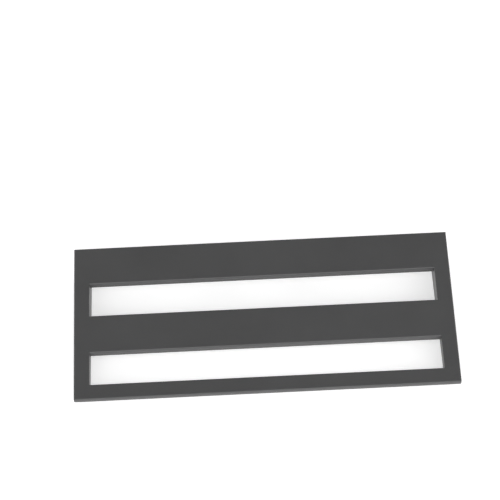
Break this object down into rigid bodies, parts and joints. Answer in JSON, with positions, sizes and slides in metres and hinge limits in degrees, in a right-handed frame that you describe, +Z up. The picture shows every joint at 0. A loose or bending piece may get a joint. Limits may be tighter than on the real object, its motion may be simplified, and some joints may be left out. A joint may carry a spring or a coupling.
{
  "type": "pedalboard",
  "caption": "Low sloping folded-metal board for effect pedals, with long cable slots, rubber feet and sliding power-supply hangers underneath.",
  "frame": {"origin": "on the floor, under the middle of the board", "axes": "+X to the player's right, +Y towards the rear (high) edge, +Z up"},
  "size_m": [0.6052, 0.27, 0.0627],
  "materials": {
    "powder_coat": "fine-textured satin powder coat, charcoal grey",
    "rivet_black": "black-coated aluminium, satin",
    "rubber": "matt moulded",
    "zinc_plate": "bright zinc plate",
    "stud_steel": "plated, threaded"
  },
  "bodies": {
    "board": {"deck_panel": "powder_coat", "left_side_rail": "powder_coat", "right_side_rail": "powder_coat", "left_side_rivets": "rivet_black", "right_side_rivets": "rivet_black", "front_left_foot": "rubber", "front_right_foot": "rubber", "rear_left_foot": "rubber", "rear_right_foot": "rubber", "foot_washers": "zinc_plate", "foot_screws": "zinc_plate", "foot_nuts": "zinc_plate", "left_bracket_studs": "stud_steel", "right_bracket_studs": "stud_steel", "left_clamp_washers": "zinc_plate", "right_clamp_washers": "zinc_plate"},
    "left_bracket": {"left_supply_bracket": "powder_coat", "left_shelf_pad": "rubber"},
    "right_bracket": {"right_supply_bracket": "powder_coat", "right_shelf_pad": "rubber"},
    "left_inner_wing_nut": {"left_inner_wing_nut": "zinc_plate"},
    "left_outer_wing_nut": {"left_outer_wing_nut": "zinc_plate"},
    "right_inner_wing_nut": {"right_inner_wing_nut": "zinc_plate"},
    "right_outer_wing_nut": {"right_outer_wing_nut": "zinc_plate"}
  },
  "joints": [
    {"name": "left_bracket_slide", "type": "slide", "parent": "board", "child": "left_bracket", "axis": [-1, 0, 0], "range_m": [-0.02, 0.02]},
    {"name": "right_bracket_slide", "type": "slide", "parent": "board", "child": "right_bracket", "axis": [1, 0, 0], "range_m": [-0.02, 0.02]},
    {"name": "left_inner_wing_nut_turn", "type": "hinge", "parent": "board", "child": "left_inner_wing_nut", "pos_m": [-0.107, 0.10843, 0.05468], "axis": [0, 0.1219, -0.9925], "continuous": true},
    {"name": "left_outer_wing_nut_turn", "type": "hinge", "parent": "board", "child": "left_outer_wing_nut", "pos_m": [-0.137, 0.10843, 0.05468], "axis": [0, 0.1219, -0.9925], "continuous": true},
    {"name": "right_inner_wing_nut_turn", "type": "hinge", "parent": "board", "child": "right_inner_wing_nut", "pos_m": [0.107, 0.10843, 0.05468], "axis": [0, 0.1219, -0.9925], "continuous": true},
    {"name": "right_outer_wing_nut_turn", "type": "hinge", "parent": "board", "child": "right_outer_wing_nut", "pos_m": [0.137, 0.10843, 0.05468], "axis": [0, 0.1219, -0.9925], "continuous": true}
  ]
}
